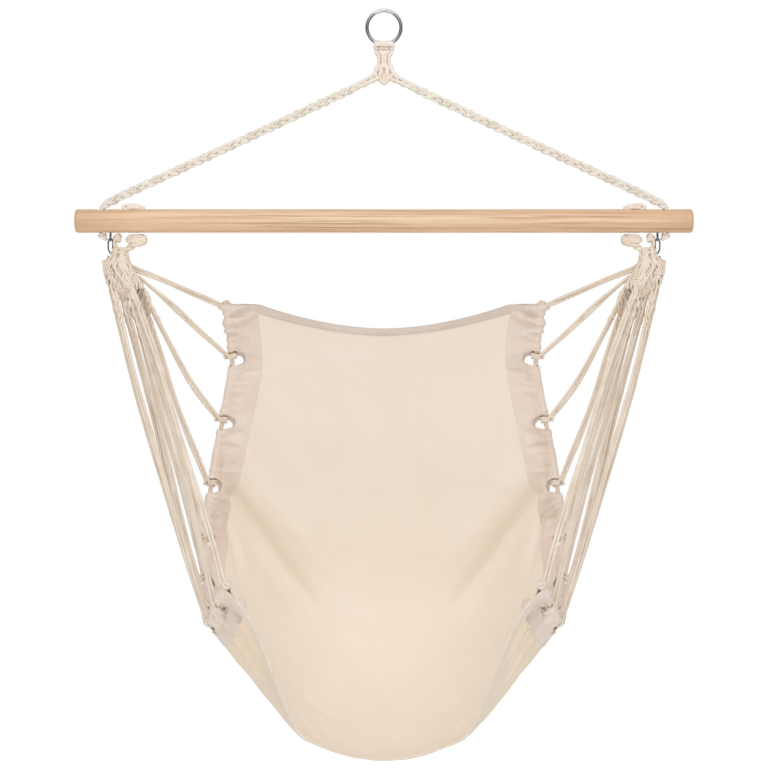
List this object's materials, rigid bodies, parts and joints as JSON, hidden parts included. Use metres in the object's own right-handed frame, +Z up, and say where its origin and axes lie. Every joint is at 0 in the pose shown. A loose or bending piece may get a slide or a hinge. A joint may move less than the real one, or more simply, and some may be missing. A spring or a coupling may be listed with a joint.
{
  "type": "hammock chair",
  "caption": "Hanging hammock chair: a cloth sling on corded harnesses under a round wooden spreader bar, hung by ropes from a steel ring",
  "frame": {"origin": "inner top of the hanging ring, where it bears on the hook that holds the chair up", "axes": "+Z up, +X along the spreader bar to the right seen from the front, -Y towards the front of the seat"},
  "size_m": [1, 0.489, 1.1975],
  "materials": {
    "steel": "smooth bright steel wire",
    "wood": "light bare hardwood, sanded, grain along the bar",
    "rope": "thick undyed cotton rope, braided and knotted",
    "cord": "undyed cotton cord, two strands side by side",
    "cloth": "cream cotton canvas",
    "band": "grey beige cotton tape, gathered along the edge rope"
  },
  "bodies": {
    "ring": {"hanging_ring": "steel"},
    "turns": {"ring_turns": "rope"},
    "hanger": {"hanger_core": "rope", "lower_knot": "rope", "spreader_bar": "wood", "main_rope_left": "rope", "main_rope_right": "rope", "stopper_knot_left": "rope", "stopper_knot_right": "rope", "screw_eye_left": "steel", "screw_eye_right": "steel", "bar_turn_left": "rope", "bar_turn_right": "rope"},
    "seat": {"s_hook_left": "steel", "s_hook_right": "steel", "harness_head_left": "rope", "harness_head_right": "rope", "harness_cord_1_left": "cord", "harness_cord_1_right": "cord", "harness_cord_2_left": "cord", "harness_cord_2_right": "cord", "harness_cord_3_left": "cord", "harness_cord_3_right": "cord", "harness_cord_4_left": "cord", "harness_cord_4_right": "cord", "harness_cord_5_left": "cord", "harness_cord_5_right": "cord", "harness_cord_6_left": "cord", "harness_cord_6_right": "cord", "harness_cord_7_left": "cord", "harness_cord_7_right": "cord", "harness_cord_8_left": "cord", "harness_cord_8_right": "cord", "harness_cord_9_left": "cord", "harness_cord_9_right": "cord", "harness_cord_10_left": "cord", "harness_cord_10_right": "cord", "harness_cord_11_left": "cord", "harness_cord_11_right": "cord", "harness_cord_12_left": "cord", "harness_cord_12_right": "cord", "edge_rope_left": "cord", "edge_rope_right": "cord", "side_channel_left": "band", "side_channel_right": "band", "seat_cloth": "cloth", "top_hem": "band", "front_hem": "band"}
  },
  "joints": [
    {"name": "sway", "type": "hinge", "parent": "ring", "child": "turns", "pos_m": [0, 0, -0.0245], "axis": [0, 1, 0], "range_deg": [-25, 25]},
    {"name": "swing", "type": "hinge", "parent": "turns", "child": "hanger", "pos_m": [0, 0, -0.0662], "axis": [1, 0, 0], "range_deg": [-35, 35]},
    {"name": "seat_tilt", "type": "hinge", "parent": "hanger", "child": "seat", "pos_m": [0, 0, -0.3671], "axis": [1, 0, 0], "range_deg": [-30, 30]}
  ]
}
